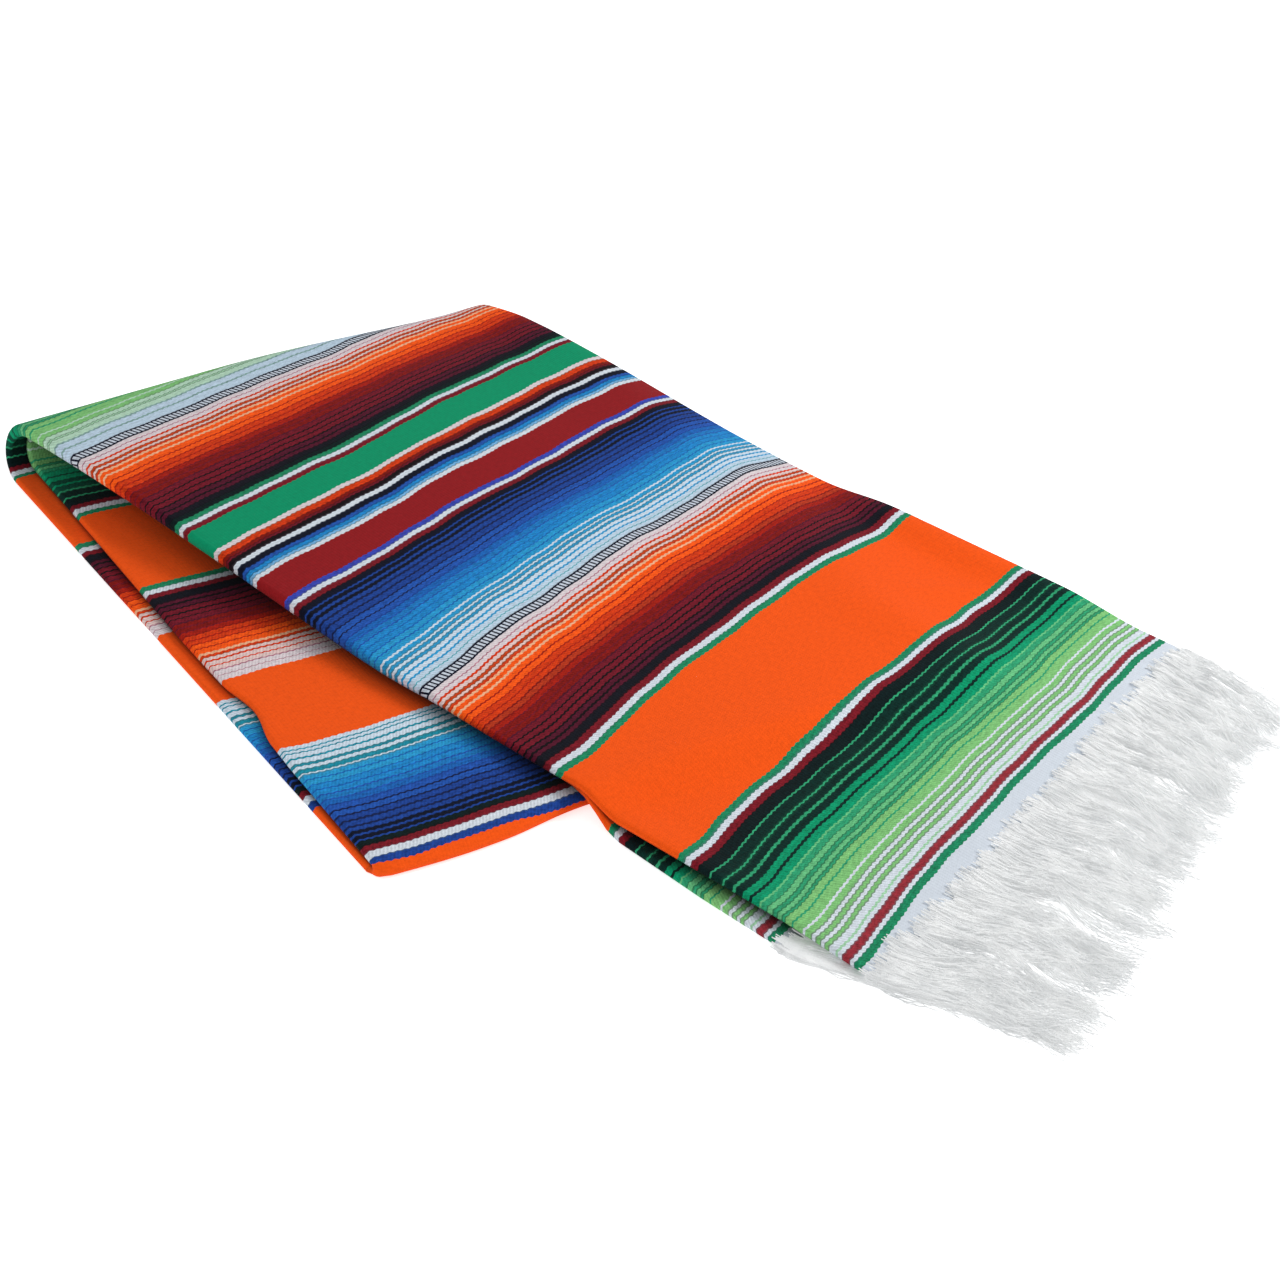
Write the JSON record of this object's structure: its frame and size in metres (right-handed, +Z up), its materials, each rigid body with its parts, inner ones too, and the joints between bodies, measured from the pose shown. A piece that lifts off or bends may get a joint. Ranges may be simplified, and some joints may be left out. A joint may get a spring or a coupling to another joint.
{
  "type": "mexican serape",
  "caption": "Striped woven serape blanket with fringed ends, folded into a long strip and folded over once more, lying flat with an open loop at its far end.",
  "frame": {"origin": "centre of the bounding box's footprint, on the surface that the folded blanket lies on", "axes": "+X along the top run from the far loop towards the fringe, +Y across it away from the side where the lower run shows, +Z up"},
  "size_m": [0.7558, 0.4916, 0.038],
  "materials": {
    "outer_top": "weft-faced woven yarn in graded stripes, matt, orange bands strongest",
    "inner_top": "weft-faced woven yarn in graded stripes, matt, green at its visible edge",
    "outer_loop": "weft-faced woven yarn, pale to dark green stripes, matt",
    "inner_loop": "weft-faced woven yarn, dark green stripes, matt",
    "outer_under": "weft-faced woven yarn in graded stripes, matt",
    "inner_under": "weft-faced woven yarn in graded stripes, matt, orange and blue bands",
    "centre_band": "plain orange weft-faced band, matt",
    "outer_fringe_yarn": "soft white twisted yarn, frayed",
    "inner_fringe_yarn": "soft white twisted yarn, frayed"
  },
  "bodies": {
    "root": {"outer_half_top": "outer_top", "inner_half_top": "inner_top", "outer_half_loop": "outer_loop", "inner_half_loop": "inner_loop", "outer_half_under": "outer_under", "inner_half_under": "inner_under", "centre_band_fold": "centre_band", "outer_fringe": "outer_fringe_yarn", "inner_fringe": "inner_fringe_yarn"}
  },
  "joints": []
}
